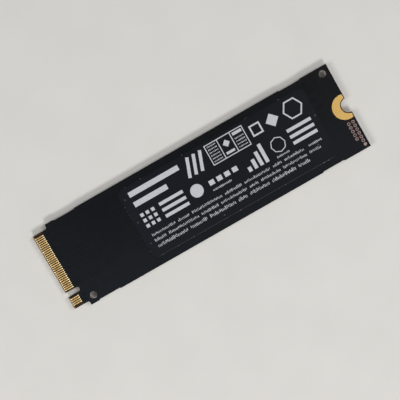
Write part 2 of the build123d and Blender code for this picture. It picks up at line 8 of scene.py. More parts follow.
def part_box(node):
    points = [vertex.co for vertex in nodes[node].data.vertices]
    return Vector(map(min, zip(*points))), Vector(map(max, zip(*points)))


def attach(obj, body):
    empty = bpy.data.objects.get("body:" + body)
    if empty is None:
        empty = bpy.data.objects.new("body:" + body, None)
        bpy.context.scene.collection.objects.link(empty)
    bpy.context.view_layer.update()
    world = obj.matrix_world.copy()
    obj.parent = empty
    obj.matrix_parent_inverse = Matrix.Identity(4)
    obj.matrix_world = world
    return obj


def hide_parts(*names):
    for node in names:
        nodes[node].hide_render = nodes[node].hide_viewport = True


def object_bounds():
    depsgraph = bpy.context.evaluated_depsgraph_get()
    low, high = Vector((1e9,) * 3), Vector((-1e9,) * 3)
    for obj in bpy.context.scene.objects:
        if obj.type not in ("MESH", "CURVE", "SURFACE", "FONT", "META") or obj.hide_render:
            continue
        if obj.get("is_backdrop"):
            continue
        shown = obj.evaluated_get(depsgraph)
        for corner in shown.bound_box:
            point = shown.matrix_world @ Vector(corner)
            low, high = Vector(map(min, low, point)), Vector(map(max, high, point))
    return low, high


# A gumstick solid state drive lying on its chips, seen from above its labelled back.
# The frame is the part's own: +X from the contact tongue to the screw notch, +Y across
# the card and +Z up. Lengths in this script are in millimetres, and MM turns them into
# the scene's metres.
MM = 0.001

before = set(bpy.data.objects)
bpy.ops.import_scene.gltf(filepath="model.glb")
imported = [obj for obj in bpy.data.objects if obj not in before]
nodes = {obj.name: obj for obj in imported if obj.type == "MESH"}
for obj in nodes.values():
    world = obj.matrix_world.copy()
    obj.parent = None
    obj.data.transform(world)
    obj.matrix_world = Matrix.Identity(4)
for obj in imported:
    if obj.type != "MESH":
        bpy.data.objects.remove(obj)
low_before, high_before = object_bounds()


def box_of(node_name):
    """The lowest and highest corner of a CAD node, in millimetres to a thousandth."""
    return [[round(value / MM, 3) for value in corner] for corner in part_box(node_name)]


# Outline of the card and its levels above the floor, read from the part
(tongue_end, _, front_z), (notch_end, half_width, back_z) = box_of("circuit_board")
(label_left, label_low, _), (label_right, label_high, label_z) = box_of("back_label")
finger_outer_end = box_of("contact_fingers_back")[0][0]
finger_inner_end = box_of("contact_fingers_back")[1][0]
seat_z = box_of("dram_package")[1][2]
ink_z = box_of("label_print")[1][2]

# Smaller features of the card
copper = 0.04
mask_start = tongue_end + 2.6
key_y = -6.125
tongue_hole_x, tongue_hole_y = -34.44, -9.2
finger_pitch = 0.5
finger_row_half = 9.45
carrier_thickness = 0.26


# Mesh helpers
weld_distance = 0.0005 * MM
solid_join_distance = 0.001 * MM


def link(name, mesh):
    """A new object of this mesh, at the origin, in the scene."""
    piece = bpy.data.objects.new(name, mesh)
    bpy.context.scene.collection.objects.link(piece)
    return piece


def mesh_from(name, corners, faces):
    """A mesh object from corners in millimetres and the faces between them."""
    mesh = bpy.data.meshes.new(name)
    mesh.from_pydata([tuple(value * MM for value in corner) for corner in corners], [], faces)
    mesh.update()
    return link(name, mesh)


def keep_as(name, helper):
    """The finished form of a helper object as a plain mesh, with the helper removed."""
    graph = bpy.context.evaluated_depsgraph_get()
    mesh = bpy.data.meshes.new_from_object(helper.evaluated_get(graph))
    mesh.name = name
    old_mesh = helper.data
    bpy.data.objects.remove(helper)
    bpy.data.meshes.remove(old_mesh)
    return link(name, mesh)


def ride(piece, slot_name, *stands_for):
    """The piece rides on the card and stands for these CAD nodes; the slot name is not used."""
    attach(piece, "root")
    if stands_for:
        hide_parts(*stands_for)
    return piece


def solid_boxes(node_name):
    """The lowest and highest corner, in millimetres, of each separate solid in a CAD node."""
    work = bmesh.new()
    work.from_mesh(nodes[node_name].data)
    bmesh.ops.remove_doubles(work, verts=work.verts, dist=solid_join_distance)
    boxes = []
    seen = set()
    for start in work.verts:
        if start in seen:
            continue
        group = []
        waiting = [start]
        seen.add(start)
        while waiting:
            vertex = waiting.pop()
            group.append(vertex.co / MM)
            for edge in vertex.link_edges:
                other = edge.other_vert(vertex)
                if other not in seen:
                    seen.add(other)
                    waiting.append(other)
        low = Vector(min(point[axis] for point in group) for axis in range(3))
        high = Vector(max(point[axis] for point in group) for axis in range(3))
        boxes.append((low, high))
    work.free()
    return boxes


def lathe(name, profile, sides, tube=False):
    """A shape turned about Z from (radius, height) pairs in millimetres, listed upwards.

    A tube's pairs go up its outside and down its bore, and the last one joins the first.
    Any other shape gets a flat cap at both ends."""
    corners = []
    faces = []
    for radius, height in profile:
        for side in range(sides):
            angle = 2 * math.pi * side / sides
            corners.append((radius * math.cos(angle), radius * math.sin(angle), height))
    count = len(profile)
    for ring in range(count if tube else count - 1):
        for side in range(sides):
            after = (side + 1) % sides
            lower = ring * sides
            upper = (ring + 1) % count * sides
            faces.append((lower + side, lower + after, upper + after, upper + side))
    if not tube:
        faces.append(tuple(reversed(range(sides))))
        faces.append(tuple(range((count - 1) * sides, count * sides)))
    return mesh_from(name, corners, faces)


def outward(piece):
    """Doubles merged and every face turned outwards."""
    work = bmesh.new()
    work.from_mesh(piece.data)
    bmesh.ops.remove_doubles(work, verts=work.verts, dist=weld_distance)
    bmesh.ops.recalc_face_normals(work, faces=work.faces)
    work.to_mesh(piece.data)
    work.free()
    return piece


# Geometry trees

def start_tree(name, inputs):
    """A geometry tree with a geometry input and output and these further named inputs."""
    tree = bpy.data.node_groups.new(name, "GeometryNodeTree")
    tree.interface.new_socket(name="Geometry", in_out="INPUT", socket_type="NodeSocketGeometry")
    for label, kind in inputs:
        tree.interface.new_socket(name=label, in_out="INPUT", socket_type=kind)
    tree.interface.new_socket(name="Geometry", in_out="OUTPUT", socket_type="NodeSocketGeometry")
    return tree, tree.nodes.new("NodeGroupInput"), tree.nodes.new("NodeGroupOutput")


def grown(name, tree, helper, values):
    """The plain mesh that a tree makes from a helper object with these input values."""
    modifier = helper.modifiers.new("tree", "NODES")
    modifier.node_group = tree
    for item in tree.interface.items_tree:
        if item.in_out == "INPUT" and item.name in values:
            modifier[item.identifier] = values[item.name]
    helper.update_tag()
    return keep_as(name, helper)


def point_attribute(tree, label):
    """The socket of a named vector that each point carries."""
    node = tree.nodes.new("GeometryNodeInputNamedAttribute")
    node.data_type = "FLOAT_VECTOR"
    node.inputs["Name"].default_value = label
    return node.outputs["Attribute"]


def end_tree(tree, geometry, given, made):
    """The last steps of every tree: plain geometry in one finish."""
    real = tree.nodes.new("GeometryNodeRealizeInstances")
    paint = tree.nodes.new("GeometryNodeSetMaterial")
    tree.links.new(geometry, real.inputs["Geometry"])
    tree.links.new(real.outputs["Geometry"], paint.inputs["Geometry"])
    tree.links.new(given.outputs["Finish"], paint.inputs["Material"])
    tree.links.new(paint.outputs["Geometry"], made.inputs["Geometry"])
    return tree


def copies_tree():
    """One copy of a shape on every point, turned and sized by the point's own attributes."""
    tree, given, made = start_tree(
        "copies_on_points", [("Shape", "NodeSocketObject"), ("Finish", "NodeSocketMaterial")]
    )
    shape = tree.nodes.new("GeometryNodeObjectInfo")
    place = tree.nodes.new("GeometryNodeInstanceOnPoints")
    tree.links.new(given.outputs["Shape"], shape.inputs["Object"])
    tree.links.new(given.outputs["Geometry"], place.inputs["Points"])
    tree.links.new(shape.outputs["Geometry"], place.inputs["Instance"])
    tree.links.new(point_attribute(tree, "turn"), place.inputs["Rotation"])
    tree.links.new(point_attribute(tree, "size"), place.inputs["Scale"])
    return end_tree(tree, place.outputs["Instances"], given, made)


def strips_tree():
    """A low strip of one width and height along every edge path."""
    tree, given, made = start_tree(
        "strips_on_paths",
        [("Width", "NodeSocketFloat"), ("Height", "NodeSocketFloat"), ("Finish", "NodeSocketMaterial")],
    )
    curve = tree.nodes.new("GeometryNodeMeshToCurve")
    profile = tree.nodes.new("GeometryNodeCurvePrimitiveQuadrilateral")
    sweep = tree.nodes.new("GeometryNodeCurveToMesh")
    tree.links.new(given.outputs["Geometry"], curve.inputs["Mesh"])
    tree.links.new(given.outputs["Width"], profile.inputs["Width"])
    tree.links.new(given.outputs["Height"], profile.inputs["Height"])
    tree.links.new(curve.outputs["Curve"], sweep.inputs["Curve"])
    tree.links.new(profile.outputs["Curve"], sweep.inputs["Profile Curve"])
    sweep.inputs["Fill Caps"].default_value = True
    return end_tree(tree, sweep.outputs["Mesh"], given, made)


copies_on_points = copies_tree()
strips_on_paths = strips_tree()

# Turns and sizes that most copies have
upright = (0.0, 0.0, 0.0)
face_down = (math.pi, 0.0, 0.0)
full_size = (1.0, 1.0, 1.0)


def copies(name, shape, places, material):
    """Copies of a shape at (place, turn, size) triples, as one plain mesh."""
    mesh = bpy.data.meshes.new(name + "_points")
    mesh.from_pydata([tuple(value * MM for value in place) for place, turn, size in places], [], [])
    turns = mesh.attributes.new("turn", "FLOAT_VECTOR", "POINT")
    sizes = mesh.attributes.new("size", "FLOAT_VECTOR", "POINT")
    for index, (place, turn, size) in enumerate(places):
        turns.data[index].vector = turn
        sizes.data[index].vector = size
    helper = link(name + "_points", mesh)
    piece = grown(name, copies_on_points, helper, {"Shape": shape, "Finish": material})
    for label in ("turn", "size"):
        if label in piece.data.attributes:
            piece.data.attributes.remove(piece.data.attributes[label])
    return piece


def strips(name, paths, width, height, material):
    """Flat strips along paths of points in millimetres, as one plain mesh."""
    corners = []
    edges = []
    for path in paths:
        for step, point in enumerate(path):
            if step:
                edges.append((len(corners) - 1, len(corners)))
            corners.append(tuple(value * MM for value in point))
    mesh = bpy.data.meshes.new(name + "_paths")
    mesh.from_pydata(corners, edges, [])
    helper = link(name + "_paths", mesh)
    values = {"Width": width * MM, "Height": height * MM, "Finish": material}
    return outward(grown(name, strips_on_paths, helper, values))


# Materials

def to_linear(channel):
    """One 0 to 255 screen value as the linear value that a shader takes."""
    share = channel / 255
    if share <= 0.04045:
        return share / 12.92
    return ((share + 0.055) / 1.055) ** 2.4


def colour(red, green, blue):
    """A screen colour as a linear one."""
    return (to_linear(red), to_linear(green), to_linear(blue), 1.0)


def wave_scale(spacing):
    """The Scale of a Wave Texture whose waves lie this many millimetres apart."""
    waves_at_scale_one = 10.0 / math.pi
    return 1.0 / (waves_at_scale_one * spacing * MM)


class Finish:
    """One procedural material on Object coordinates, built up pattern by pattern."""

    def __init__(self, name, roughness, metallic=0.0, specular=0.5):
        self.material = bpy.data.materials.new(name)
        self.material.use_nodes = True
        self.tree = self.material.node_tree
        self.shader = self.tree.nodes["Principled BSDF"]
        self.shader.inputs["Roughness"].default_value = roughness
        self.shader.inputs["Metallic"].default_value = metallic
        self.shader.inputs["Specular IOR Level"].default_value = specular
        self.place = self.tree.nodes.new("ShaderNodeTexCoord").outputs["Object"]

    def add(self, kind, **values):
        """A new shader node with these settings."""
        node = self.tree.nodes.new(kind)
        for label, value in values.items():
            setattr(node, label, value)
        return node

    def join(self, output, given):
        """A link from one socket to another."""
        self.tree.links.new(output, given)

    def stretched(self, stretch, turn=0.0):
        """Object coordinates stretched along each axis and turned about Z."""
        mapping = self.add("ShaderNodeMapping")
        mapping.inputs["Scale"].default_value = stretch
        mapping.inputs["Rotation"].default_value = (0.0, 0.0, turn)
        self.join(self.place, mapping.inputs["Vector"])
        return mapping.outputs["Vector"]

    def noise(self, grain, detail=3.0, stretch=(1.0, 1.0, 1.0)):
        """Cloudy noise with features of about this many millimetres."""
        node = self.add("ShaderNodeTexNoise")
        node.inputs["Scale"].default_value = 1.0 / (grain * MM)
        node.inputs["Detail"].default_value = detail
        self.join(self.stretched(stretch), node.inputs["Vector"])
        return node.outputs["Fac"]

    def weave(self, spacing):
        """The over and under of woven glass, with its waves this many millimetres apart."""
        heights = []
        for turn in (0.0, math.pi / 2):
            node = self.add("ShaderNodeTexWave")
            node.inputs["Scale"].default_value = wave_scale(spacing)
            node.inputs["Distortion"].default_value = 0.6
            self.join(self.stretched((1.0, 1.0, 1.0), turn), node.inputs["Vector"])
            heights.append(node.outputs["Fac"])
        return self.combined("MULTIPLY", *heights)

    def axis(self, label):
        """One Object coordinate in millimetres."""
        split = self.add("ShaderNodeSeparateXYZ")
        self.join(self.stretched((1 / MM, 1 / MM, 1 / MM)), split.inputs["Vector"])
        return split.outputs[label]

    def off_middle(self, label, middle):
        """How far a place lies from this middle along one axis, in millimetres, to either side."""
        return self.combined("ABSOLUTE", self.combined("SUBTRACT", self.axis(label), middle), 0.0)

    def speckled(self, grains, dark, light):
        """From a dark to a light colour as a noise value rises through its middle range."""
        return self.ramp(grains, [(0.3, dark), (0.7, light)])

    def combined(self, operation, first, second):
        """Two values brought together by a sum, product or other operation."""
        node = self.add("ShaderNodeMath", operation=operation)
        for index, value in enumerate((first, second)):
            if isinstance(value, (int, float)):
                node.inputs[index].default_value = value
            else:
                self.join(value, node.inputs[index])
        return node.outputs["Value"]

    def ramp(self, value, stops):
        """Colours at places from 0 to 1 along a value."""
        node = self.add("ShaderNodeValToRGB")
        points = node.color_ramp.elements
        while len(points) < len(stops):
            points.new(0.5)
        for point, (place, tone) in zip(points, stops):
            point.position = place
            point.color = tone
        self.join(value, node.inputs["Fac"])
        return node.outputs["Color"]

    def between(self, value, low, high, first, last):
        """A value from first to last, as the given one goes from low to high."""
        node = self.add("ShaderNodeMapRange")
        node.inputs["From Min"].default_value = low
        node.inputs["From Max"].default_value = high
        node.inputs["To Min"].default_value = first
        node.inputs["To Max"].default_value = last
        self.join(value, node.inputs["Value"])
        return node.outputs["Result"]

    def mixed(self, share, first, second):
        """Two colours mixed by a share from 0 to 1."""
        node = self.add("ShaderNodeMix", data_type="RGBA")
        self.join(share, node.inputs["Factor"])
        for given, tone in ((node.inputs["A"], first), (node.inputs["B"], second)):
            if isinstance(tone, tuple):
                given.default_value = tone
            else:
                self.join(tone, given)
        return node.outputs["Result"]

    def paint(self, tone):
        """The colour of the surface."""
        self.join(tone, self.shader.inputs["Base Color"])

    def rough(self, value):
        """How dull the surface is."""
        self.join(value, self.shader.inputs["Roughness"])

    def relief(self, height, depth, strength):
        """Bumps of this depth in millimetres."""
        node = self.add("ShaderNodeBump")
        node.inputs["Strength"].default_value = strength
        node.inputs["Distance"].default_value = depth * MM
        self.join(height, node.inputs["Height"])
        self.join(node.outputs["Normal"], self.shader.inputs["Normal"])


# The middle of the patch among the test holes where the mask is thin
thin_mask_x, thin_mask_y = 38.5, -5.9


def make_mask(name):
    """Black solder mask: satin, a little cloudy, with painted light that leaves it paler towards the
    tongue end and towards low Y on the key light's side, and brown where it is thin.
    """
    made = Finish(name, 0.45, specular=0.1)
    clouds = made.noise(5.0, 4.0)
    # Painted light: the mask is paler towards the tongue end and towards low Y, the key light's side
    along = made.between(made.axis("X"), -36.0, 36.0, 0.5, 0.1)
    across = made.between(made.axis("Y"), -10.0, 10.0, 0.5, 0.0)
    painted_light_slope = made.combined("ADD", along, across)
    uneven = made.combined("ADD", painted_light_slope, made.between(clouds, 0.3, 0.7, -0.08, 0.08))
    black = made.ramp(uneven, [(0.0, colour(0, 1, 4)), (1.0, colour(14, 19, 26))])
    by_rows = made.between(made.off_middle("X", thin_mask_x), 0.7, 1.0, 1.0, 0.0)
    by_length = made.between(made.off_middle("Y", thin_mask_y), 2.4, 2.9, 1.0, 0.0)
    thin = made.combined("MULTIPLY", by_rows, by_length)
    brown = made.speckled(clouds, colour(30, 10, 10), colour(40, 15, 14))
    made.paint(made.mixed(thin, black, brown))
    made.rough(made.between(made.noise(1.2), 0.3, 0.7, 0.4, 0.52))
    made.relief(made.noise(0.35, 2.0), 0.006, 0.5)
    return made.material


glass_wave_spacing = 2.827


def make_laminate(name, dark, light, shaded=None):
    """Bare board: resin over a glass weave, with painted shade in the gaps among the fingers if a shade
    colour is given.
    """
    made = Finish(name, 0.55, specular=0.16)
    tone = made.speckled(made.noise(0.5, 4.0, (1.0, 1.0, 3.0)), dark, light)
    if shaded:
        # Painted shade: the laminate between the fingers is darker
        inner = made.between(made.axis("X"), finger_inner_end + 0.15, finger_inner_end + 0.05, 0.0, 1.0)
        outer = made.between(made.axis("X"), finger_outer_end + 0.1, finger_outer_end + 0.2, 0.0, 1.0)
        row = made.between(made.off_middle("Y", 0.0), finger_row_half, finger_row_half + 0.05, 1.0, 0.0)
        finger_gap_shade = made.combined("MULTIPLY", made.combined("MULTIPLY", inner, outer), row)
        tone = made.mixed(finger_gap_shade, tone, shaded)
    made.paint(tone)
    made.relief(made.weave(glass_wave_spacing), 0.008, 0.6)
    return made.material


def make_finger_gold(name, one_finger_y):
    """Hard gold plating, scuffed lengthwise, with painted highlights at its ends and painted shade on its
    flanks.

    The flanks repeat at the finger pitch to either side of one finger's middle."""
    made = Finish(name, 0.42, metallic=1.0)
    scuffs = made.noise(0.3, 3.0, (0.15, 1.0, 1.0))
    worn = made.speckled(scuffs, colour(178, 148, 96), colour(206, 174, 118))
    # Painted highlights: both ends of each finger are paler
    inner_end = made.between(made.axis("X"), finger_inner_end - 0.3, finger_inner_end - 0.2, 0.0, 1.0)
    outer_end = made.between(made.axis("X"), finger_outer_end + 0.1, finger_outer_end + 0.2, 1.0, 0.0)
    ends = made.combined("MAXIMUM", inner_end, outer_end)
    gold_with_end_highlights = made.mixed(ends, worn, colour(250, 232, 186))
    # Painted shade: each finger is darker on its flanks, towards the gaps
    along_row = made.combined("SUBTRACT", made.axis("Y"), one_finger_y)
    from_middle = made.combined("PINGPONG", along_row, finger_pitch / 2)
    clear_of_flank_shade = made.between(from_middle, 0.07, 0.17, 1.0, 0.0)
    made.paint(made.mixed(clear_of_flank_shade, colour(84, 64, 36), gold_with_end_highlights))
    made.rough(made.between(scuffs, 0.3, 0.7, 0.38, 0.48))
    return made.material


screw_scuff_spacing = 2.2


def make_pad_gold(name):
    """Soft matt gold of the ground pads, with round scuffs left by a screw head."""
    made = Finish(name, 0.5, metallic=1.0)
    grains = made.noise(0.5, 4.0)
    made.paint(made.speckled(grains, colour(178, 146, 86), colour(190, 158, 96)))
    centred = made.add("ShaderNodeMapping")
    centred.inputs["Location"].default_value = (-notch_end * MM, 0.0, 0.0)
    made.join(made.place, centred.inputs["Vector"])
    rings = made.add("ShaderNodeTexWave", wave_type="RINGS", rings_direction="Z")
    rings.inputs["Scale"].default_value = wave_scale(screw_scuff_spacing)
    rings.inputs["Distortion"].default_value = 2.0
    made.join(centred.outputs["Vector"], rings.inputs["Vector"])
    made.rough(made.between(grains, 0.3, 0.7, 0.46, 0.56))
    made.relief(made.combined("MULTIPLY", rings.outputs["Fac"], grains), 0.004, 0.3)
    return made.material


def make_metal(name, dark, light, roughness, grain):
    """A plated or soldered metal with its own grain."""
    made = Finish(name, roughness, metallic=1.0)
    grains = made.noise(grain)
    made.paint(made.speckled(grains, dark, light))
    made.rough(made.between(grains, 0.3, 0.7, roughness * 0.8, roughness * 1.25))
    made.relief(grains, 0.004, 0.5)
    return made.material


def make_lid(name):
    """Nickel plated lid, satin, with a faint brushed grain along the card."""
    made = Finish(name, 0.4, metallic=1.0)
    brushed = made.noise(0.2, 3.0, (0.08, 1.0, 1.0))
    made.paint(made.speckled(brushed, colour(176, 175, 172), colour(186, 185, 182)))
    made.rough(made.between(brushed, 0.3, 0.7, 0.37, 0.43))
    return made.material


def make_matt(name, dark, light, roughness, grain):
    """Ceramic, pressed powder, moulding compound or resin: matt, with fine grains."""
    made = Finish(name, roughness, specular=0.35)
    grains = made.noise(grain, 4.0)
    made.paint(made.speckled(grains, dark, light))
    made.relief(grains, 0.006, 0.5)
    return made.material


def make_film(name):
    """The label's black film: smooth satin, with painted light that leaves it paler towards the tongue
    end, and a painted highlight along its cut edge on the key side.
    """
    made = Finish(name, 0.42, specular=0.13)
    clouds = made.noise(7.0, 3.0)
    # Painted light: the film is paler towards the tongue end
    along = made.between(made.axis("X"), label_left, label_right, 0.9, 0.1)
    uneven = made.combined("ADD", along, made.between(clouds, 0.3, 0.7, -0.08, 0.08))
    black = made.ramp(uneven, [(0.0, colour(0, 3, 10)), (1.0, colour(15, 18, 27))])
    # Painted highlight along the film's cut edge on the key light's side
    painted_edge_highlight = made.between(made.axis("Y"), label_low + 0.08, label_low + 0.06, 0.0, 1.0)
    made.paint(made.mixed(painted_edge_highlight, black, colour(64, 66, 72)))
    made.relief(made.noise(2.5, 2.0), 0.02, 0.35)
    return made.material


def make_ink(name):
    """Pale grey printing ink, a little uneven."""
    made = Finish(name, 0.5, specular=0.3)
    grains = made.noise(0.25, 3.0)
    made.paint(made.ramp(grains, [(0.25, colour(176, 179, 187)), (0.75, colour(198, 201, 208))]))
    return made.material


def make_mould(name):
    """Moulded epoxy over a green laminate carrier, which shows as a thin edge by the board."""
    made = Finish(name, 0.6, specular=0.3)
    grains = made.noise(0.12, 4.0)
    body = made.speckled(grains, colour(42, 43, 45), colour(56, 57, 59))
    edge = made.speckled(made.noise(0.3), colour(44, 74, 48), colour(66, 98, 60))
    carrier_level = seat_z - carrier_thickness
    carrier = made.between(made.axis("Z"), carrier_level - 0.01, carrier_level + 0.01, 0.0, 1.0)
    made.paint(made.mixed(carrier, body, edge))
    made.relief(grains, 0.008, 0.6)
    return made.material


backdrop_colour = colour(214, 212, 208)


def make_floor(name):
    """A plain pale tabletop, faintly mottled, which runs into the backdrop far away.

    It is clear from below and to the light from there, so that the chips show."""
    made = Finish(name, 0.8, specular=0.1)
    clouds = made.noise(14.0, 5.0)
    made.paint(made.speckled(clouds, colour(213, 212, 209), colour(217, 216, 213)))
    made.relief(made.noise(1.5, 4.0), 0.02, 0.25)
    rays = made.add("ShaderNodeLightPath")
    reach = made.add("ShaderNodeVectorMath", operation="LENGTH")
    made.join(made.place, reach.inputs[0])
    far_away = made.between(reach.outputs["Value"], 0.1, 0.32, 0.0, 1.0)
    glow = made.add("ShaderNodeEmission")
    glow.inputs["Color"].default_value = backdrop_colour
    mirrored = made.combined("MAXIMUM", rays.outputs["Is Glossy Ray"], rays.outputs["Is Transmission Ray"])
    looked_at = made.combined("MAXIMUM", rays.outputs["Is Camera Ray"], mirrored)
    even = made.add("ShaderNodeMixShader")
    made.join(made.combined("MULTIPLY", far_away, looked_at), even.inputs["Fac"])
    made.join(made.shader.outputs["BSDF"], even.inputs[1])
    made.join(glow.outputs["Emission"], even.inputs[2])
    clear = made.add("ShaderNodeBsdfTransparent")
    behind = made.add("ShaderNodeNewGeometry").outputs["Backfacing"]
    either = made.combined("MAXIMUM", behind, rays.outputs["Is Shadow Ray"])
    choice = made.add("ShaderNodeMixShader")
    made.join(either, choice.inputs["Fac"])
    made.join(even.outputs["Shader"], choice.inputs[1])
    made.join(clear.outputs["BSDF"], choice.inputs[2])
    made.join(choice.outputs["Shader"], made.tree.nodes["Material Output"].inputs["Surface"])
    return made.material


board_mask = make_mask("board_mask")
# The last colour is painted shade for the gaps among the fingers
bare_laminate = make_laminate("bare_laminate", colour(46, 28, 8), colour(66, 43, 17), colour(16, 10, 5))
cut_laminate = make_laminate("cut_laminate", colour(112, 92, 60), colour(140, 118, 82))
routed_edge = make_laminate("routed_edge", colour(84, 70, 46), colour(114, 96, 66))
finger_golds = {
    "back": make_finger_gold("finger_gold_back", one_finger_y=-9.0),
    "front": make_finger_gold("finger_gold_front", one_finger_y=-9.25),
}
pad_gold = make_pad_gold("pad_gold")
via_metal = make_metal("via_metal", colour(110, 96, 94), colour(152, 137, 134), 0.45, 0.3)
label_film = make_film("label_film")
# Paler film for the bumps: a painted highlight where they rise
bump_highlight_film = make_matt("bump_highlight_film", colour(34, 36, 42), colour(58, 60, 66), 0.35, 0.3)
label_ink = make_ink("label_ink")
solder = make_metal("solder", colour(150, 152, 156), colour(205, 207, 210), 0.25, 0.25)
tin = make_metal("tin", colour(165, 166, 166), colour(208, 208, 205), 0.4, 0.2)
lid_metal = make_lid("lid_metal")
mould = make_mould("mould")
dimple_floor = make_matt("dimple_floor", colour(18, 18, 19), colour(26, 26, 27), 0.35, 0.2)
ceramic_tan = make_matt("ceramic_tan", colour(128, 92, 62), colour(158, 120, 84), 0.5, 0.15)
ceramic_dark = make_matt("ceramic_dark", colour(24, 24, 27), colour(38, 38, 42), 0.4, 0.12)
ferrite = make_matt("ferrite", colour(66, 67, 70), colour(92, 92, 94), 0.65, 0.1)
crystal_ceramic = make_matt("crystal_ceramic", colour(178, 170, 152), colour(205, 198, 182), 0.5, 0.2)
fuse_green = make_matt("fuse_green", colour(52, 92, 66), colour(76, 120, 88), 0.45, 0.15)
carrier_green = make_matt("carrier_green", colour(40, 70, 46), colour(60, 92, 58), 0.5, 0.3)
# Near-black resin for the test hole plugs: painted shade for the depth of the bores
bore_shade_resin = make_matt("bore_shade_resin", colour(14, 9, 9), colour(24, 15, 14), 0.6, 0.1)
floor_stone = make_floor("floor_stone")


# CAD nodes that are shown as they are, each with its finish and slightly rounded edges

sharp_angle = 0.9


def soften(piece, width):
    """Corners joined and sharp edges rounded by this many millimetres."""
    weld = piece.modifiers.new("joined", "WELD")
    weld.merge_threshold = weld_distance
    round_off = piece.modifiers.new("rounded", "BEVEL")
    round_off.width = width * MM
    round_off.segments = 2
    round_off.limit_method = "ANGLE"
    round_off.angle_limit = sharp_angle


shown_nodes = {
    "controller_substrate": (carrier_green, "laminate", 0.02),
    "controller_lid": (lid_metal, "lid_metal", 0.06),
    "power_chip_body": (ceramic_dark, "moulded_black", 0.03),
    "power_chip_leads": (tin, "terminal_tin", 0.01),
    "load_switch_body": (ceramic_dark, "moulded_black", 0.03),
    "load_switch_leads": (tin, "terminal_tin", 0.01),
    "boot_memory_body": (ceramic_dark, "moulded_black", 0.03),
    "boot_memory_leads": (tin, "terminal_tin", 0.01),
    "crystal_pads": (tin, "terminal_tin", 0.005),
    "crystal_base": (crystal_ceramic, "crystal_ceramic", 0.02),
    "crystal_lid": (lid_metal, "lid_metal", 0.03),
    "regulator_body": (ceramic_dark, "moulded_black", 0.04),
    "regulator_leads": (tin, "terminal_tin", 0.01),
    "inductor_bodies": (ferrite, "ferrite_grey", 0.06),
    "inductor_terminals": (tin, "terminal_tin", 0.01),
    "bulk_capacitor_bodies": (ceramic_tan, "ceramic_tan", 0.04),
    "bulk_capacitor_terminals": (tin, "terminal_tin", 0.05),
    "chip_capacitor_bodies": (ceramic_tan, "ceramic_tan", 0.025),
    "chip_capacitor_terminals": (tin, "terminal_tin", 0.035),
    "chip_resistor_bodies": (ceramic_dark, "ceramic_dark", 0.02),
    "chip_resistor_terminals": (tin, "terminal_tin", 0.03),
    "input_fuse_bodies": (fuse_green, "fuse_green", 0.03),
    "input_fuse_terminals": (tin, "terminal_tin", 0.04),
    "back_label": (label_film, "label_film", 0.04),
    "screw_pad_back": (pad_gold, "contact_gold", 0.03),
    "screw_pad_front": (pad_gold, "contact_gold", 0.03),
}
for node_name, (material, slot_name, rounding) in shown_nodes.items():
    node = nodes[node_name]
    node.data.materials.clear()
    node.data.materials.append(material)
    soften(node, rounding)


# Memory packages: their outer edges rounded, and the first-contact dimple polished
package_rounding = 0.06
dimple_depth_limit = 0.2
nearly_flush = 0.01


def dress_package(node_name):
    """A copy of the package with rounded outer edges and a polished dimple in its face."""
    mesh = nodes[node_name].data.copy()
    mesh.name = node_name + "_rounded"
    if "custom_normal" in mesh.attributes:
        mesh.attributes.remove(mesh.attributes["custom_normal"])
    mesh.materials.clear()
    mesh.materials.append(mould)
    mesh.materials.append(dimple_floor)
    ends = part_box(node_name)
    work = bmesh.new()
    work.from_mesh(mesh)
    bmesh.ops.remove_doubles(work, verts=work.verts, dist=weld_distance)
    bmesh.ops.dissolve_limit(work, angle_limit=0.01, verts=work.verts, edges=work.edges)

    def is_outer_corner(vertex):
        """True for a corner of the package's box."""
        gaps = [min(abs(vertex.co[axis] - end[axis]) for end in ends) for axis in range(3)]
        return max(gaps) < nearly_flush * MM

    corners = [vertex for vertex in work.verts if is_outer_corner(vertex)]
    outer_edges = [edge for edge in work.edges if all(vertex in corners for vertex in edge.verts)]
    rounding = package_rounding * MM
    bmesh.ops.bevel(work, geom=outer_edges, offset=rounding, segments=2, affect="EDGES", profile=0.5)
    for face in work.faces:
        depth = (face.calc_center_median().z - ends[0].z) / MM
        in_dimple = nearly_flush < depth < dimple_depth_limit and abs(face.normal.z) > 0.9
        face.material_index = 1 if in_dimple else 0
    bmesh.ops.triangulate(work, faces=[face for face in work.faces if len(face.verts) > 4])
    work.to_mesh(mesh)
    work.free()
    return ride(link(node_name + "_rounded", mesh), "moulded_black", node_name)


for package in ("dram_package", "nand_a_package", "nand_b_package"):
    dress_package(package)

# Board: mask on both faces, bare laminate on its tongue and edges
cut_tolerance = 0.0001 * MM


def dress_board():
    """A copy of the board, cut across where its mask starts, with a finish for each kind of face."""
    mesh = nodes["circuit_board"].data.copy()
    mesh.name = "board_with_mask"
    mesh.materials.clear()
    for material in (board_mask, bare_laminate, routed_edge, cut_laminate):
        mesh.materials.append(material)
    work = bmesh.new()
    work.from_mesh(mesh)
    bmesh.ops.remove_doubles(work, verts=work.verts, dist=weld_distance)
    bmesh.ops.bisect_plane(
        work,
        geom=work.verts[:] + work.edges[:] + work.faces[:],
        plane_co=(mask_start * MM, 0, 0),
        plane_no=(1, 0, 0),
        dist=cut_tolerance,
    )
    for face in work.faces:
        on_edge = abs(face.normal.z) <= 0.99
        on_tongue = face.calc_center_median().x <= mask_start * MM
        face.material_index = 2 * on_edge + on_tongue
    work.to_mesh(mesh)
    work.free()
    return ride(link("board_with_mask", mesh), "board_mask", "circuit_board")


dress_board()

# Contact fingers: rounded gold bars on both faces of the tongue
finger_length = finger_inner_end - finger_outer_end
finger_width = 0.35
finger_rounding = 0.11


